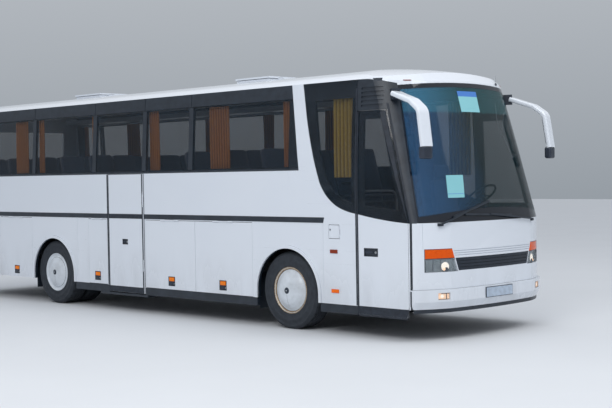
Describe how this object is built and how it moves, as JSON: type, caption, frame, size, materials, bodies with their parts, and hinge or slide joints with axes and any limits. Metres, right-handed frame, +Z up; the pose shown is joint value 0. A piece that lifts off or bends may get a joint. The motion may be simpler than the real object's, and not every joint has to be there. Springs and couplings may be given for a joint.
{
  "type": "coach bus",
  "caption": "White single-deck touring coach with raked nose, banded dark glazing, swing-out front door, hinged middle door, luggage flaps, hanging mirrors and a rear engine.",
  "frame": {"origin": "on the ground, under the middle of the vehicle's overall length and width", "axes": "+X forward along the length, +Y to the vehicle's left, +Z up"},
  "size_m": [10.7, 2.6578, 3.351],
  "materials": {
    "black_plastic": "satin black",
    "chassis_steel": "black paint, dusty",
    "curtain_cloth": "brown pleated cloth",
    "dash_plastic": "grained dark grey",
    "engine_iron": "bare cast iron",
    "floor_board": "grey floor covering",
    "lamp_glass": "clear lamp glass",
    "mirror_arm_paint": "gloss white paint",
    "mirror_housing": "satin black",
    "orange_lens": "orange lens",
    "plate_paint": "blank plate",
    "rack_aluminium": "satin",
    "red_lens": "red lens",
    "seat_cloth": "woven seat cloth",
    "tinted_glass": "dark tinted bonded glass",
    "tyre_rubber": "dusty black rubber",
    "wheel_paint": "white paint with rust at the rim",
    "white_paint": "gloss white paint, faintly blue"
  },
  "bodies": {
    "root": {"black_trims": "black_plastic", "chassis_frame": "chassis_steel", "curtain_rails": "rack_aluminium", "curtains": "curtain_cloth", "dashboard": "dash_plastic", "door_bearings": "chassis_steel", "driver_seat": "seat_cloth", "engine": "engine_iron", "floor_deck": "floor_board", "front_axle": "chassis_steel", "front_bumper": "white_paint", "front_mask": "white_paint", "fuel_tank": "chassis_steel", "grille": "black_plastic", "headlamps": "lamp_glass", "luggage_racks": "rack_aluminium", "mirror_arms": "mirror_arm_paint", "mirror_heads": "mirror_housing", "mudflaps": "black_plastic", "number_plate": "plate_paint", "passenger_seats": "seat_cloth", "rear_axle": "chassis_steel", "rear_bumper": "white_paint", "rear_glass": "tinted_glass", "rear_panel": "white_paint", "roof": "white_paint", "side_glass": "tinted_glass", "side_left": "white_paint", "side_markers": "orange_lens", "side_right": "white_paint", "steering_wheel": "dash_plastic", "tail_lamps": "red_lens", "turn_lamps": "orange_lens", "windscreen": "tinted_glass", "wipers": "black_plastic"},
    "knuckle_left": {"knuckle_left": "chassis_steel"},
    "knuckle_right": {"knuckle_right": "chassis_steel"},
    "wheel_front_left": {"tyre_front_left": "tyre_rubber", "rim_front_left": "wheel_paint"},
    "wheel_front_right": {"tyre_front_right": "tyre_rubber", "rim_front_right": "wheel_paint"},
    "wheel_rear_left": {"tyre_rear_left": "tyre_rubber", "rim_rear_left": "wheel_paint"},
    "wheel_rear_right": {"tyre_rear_right": "tyre_rubber", "rim_rear_right": "wheel_paint"},
    "front_door_post": {"front_door_post": "chassis_steel"},
    "front_door": {"front_door": "white_paint", "front_door_glass": "tinted_glass"},
    "mid_door": {"mid_door": "white_paint"},
    "engine_lid": {"engine_lid": "white_paint"},
    "fuel_flap": {"fuel_flap": "white_paint"},
    "roof_hatch_front": {"roof_hatch_front": "white_paint"},
    "roof_hatch_rear": {"roof_hatch_rear": "white_paint"},
    "flap_left_front": {"flap_left_front": "white_paint"},
    "flap_left_middle": {"flap_left_middle": "white_paint"},
    "flap_left_rear": {"flap_left_rear": "white_paint"},
    "flap_right_front": {"flap_right_front": "white_paint"},
    "flap_right_middle": {"flap_right_middle": "white_paint"},
    "flap_right_rear": {"flap_right_rear": "white_paint"},
    "flap_right_service": {"flap_right_service": "white_paint"}
  },
  "joints": [
    {"name": "steer_left", "type": "hinge", "parent": "root", "child": "knuckle_left", "pos_m": [2.93, 0.86, 0.496], "axis": [0, 0, 1], "range_deg": [-40, 40]},
    {"name": "roll_front_left", "type": "hinge", "parent": "knuckle_left", "child": "wheel_front_left", "pos_m": [2.93, 1.045, 0.496], "axis": [0, 1, 0], "continuous": true},
    {"name": "roll_rear_left", "type": "hinge", "parent": "root", "child": "wheel_rear_left", "pos_m": [-2.39, 1.045, 0.496], "axis": [0, 1, 0], "continuous": true},
    {"name": "steer_right", "type": "hinge", "parent": "root", "child": "knuckle_right", "pos_m": [2.93, -0.86, 0.496], "axis": [0, 0, 1], "range_deg": [-40, 40]},
    {"name": "roll_front_right", "type": "hinge", "parent": "knuckle_right", "child": "wheel_front_right", "pos_m": [2.93, -1.045, 0.496], "axis": [0, 1, 0], "continuous": true},
    {"name": "roll_rear_right", "type": "hinge", "parent": "root", "child": "wheel_rear_right", "pos_m": [-2.39, -1.045, 0.496], "axis": [0, 1, 0], "continuous": true},
    {"name": "front_door_swing", "type": "hinge", "parent": "root", "child": "front_door_post", "pos_m": [4.95, -1.1, 0.9], "axis": [0, 0, 1], "range_deg": [0, 150]},
    {"name": "front_door_follow", "type": "hinge", "parent": "front_door_post", "child": "front_door", "pos_m": [4.53, -1.1, 0.9], "axis": [0, 0, 1], "range_deg": [-150, 0]},
    {"name": "mid_door_swing", "type": "hinge", "parent": "root", "child": "mid_door", "pos_m": [-0.028, -1.254, 1.1], "axis": [0, 0, 1], "range_deg": [0, 88]},
    {"name": "fuel_flap_swing", "type": "hinge", "parent": "root", "child": "fuel_flap", "pos_m": [3.877, -1.254, 1.267], "axis": [0, 0, 1], "range_deg": [0, 100]},
    {"name": "flap_right_service_lift", "type": "hinge", "parent": "root", "child": "flap_right_service", "pos_m": [-3.45, -1.254, 1.357], "axis": [-1, 0, 0], "range_deg": [0, 90]},
    {"name": "flap_right_rear_lift", "type": "hinge", "parent": "root", "child": "flap_right_rear", "pos_m": [-1.165, -1.254, 1.357], "axis": [-1, 0, 0], "range_deg": [0, 90]},
    {"name": "flap_right_middle_lift", "type": "hinge", "parent": "root", "child": "flap_right_middle", "pos_m": [0.575, -1.254, 1.357], "axis": [-1, 0, 0], "range_deg": [0, 90]},
    {"name": "flap_right_front_lift", "type": "hinge", "parent": "root", "child": "flap_right_front", "pos_m": [1.715, -1.254, 1.357], "axis": [-1, 0, 0], "range_deg": [0, 90]},
    {"name": "flap_left_rear_lift", "type": "hinge", "parent": "root", "child": "flap_left_rear", "pos_m": [-0.795, 1.254, 1.357], "axis": [1, 0, 0], "range_deg": [0, 90]},
    {"name": "flap_left_middle_lift", "type": "hinge", "parent": "root", "child": "flap_left_middle", "pos_m": [0.47, 1.254, 1.357], "axis": [1, 0, 0], "range_deg": [0, 90]},
    {"name": "flap_left_front_lift", "type": "hinge", "parent": "root", "child": "flap_left_front", "pos_m": [1.715, 1.254, 1.357], "axis": [1, 0, 0], "range_deg": [0, 90]},
    {"name": "engine_lid_lift", "type": "hinge", "parent": "root", "child": "engine_lid", "pos_m": [-5.339, 0, 1.497], "axis": [0, 1, 0], "range_deg": [0, 80]},
    {"name": "roof_hatch_front_lift", "type": "hinge", "parent": "root", "child": "roof_hatch_front", "pos_m": [1.744, 0, 3.323], "axis": [0, 1, 0], "range_deg": [0, 30]},
    {"name": "roof_hatch_rear_lift", "type": "hinge", "parent": "root", "child": "roof_hatch_rear", "pos_m": [-2.256, 0, 3.323], "axis": [0, 1, 0], "range_deg": [0, 30]}
  ],
  "couplings": [
    {"joint": "steer_right", "follows": "steer_left", "ratio": 1},
    {"joint": "front_door_follow", "follows": "front_door_swing", "ratio": -1}
  ]
}
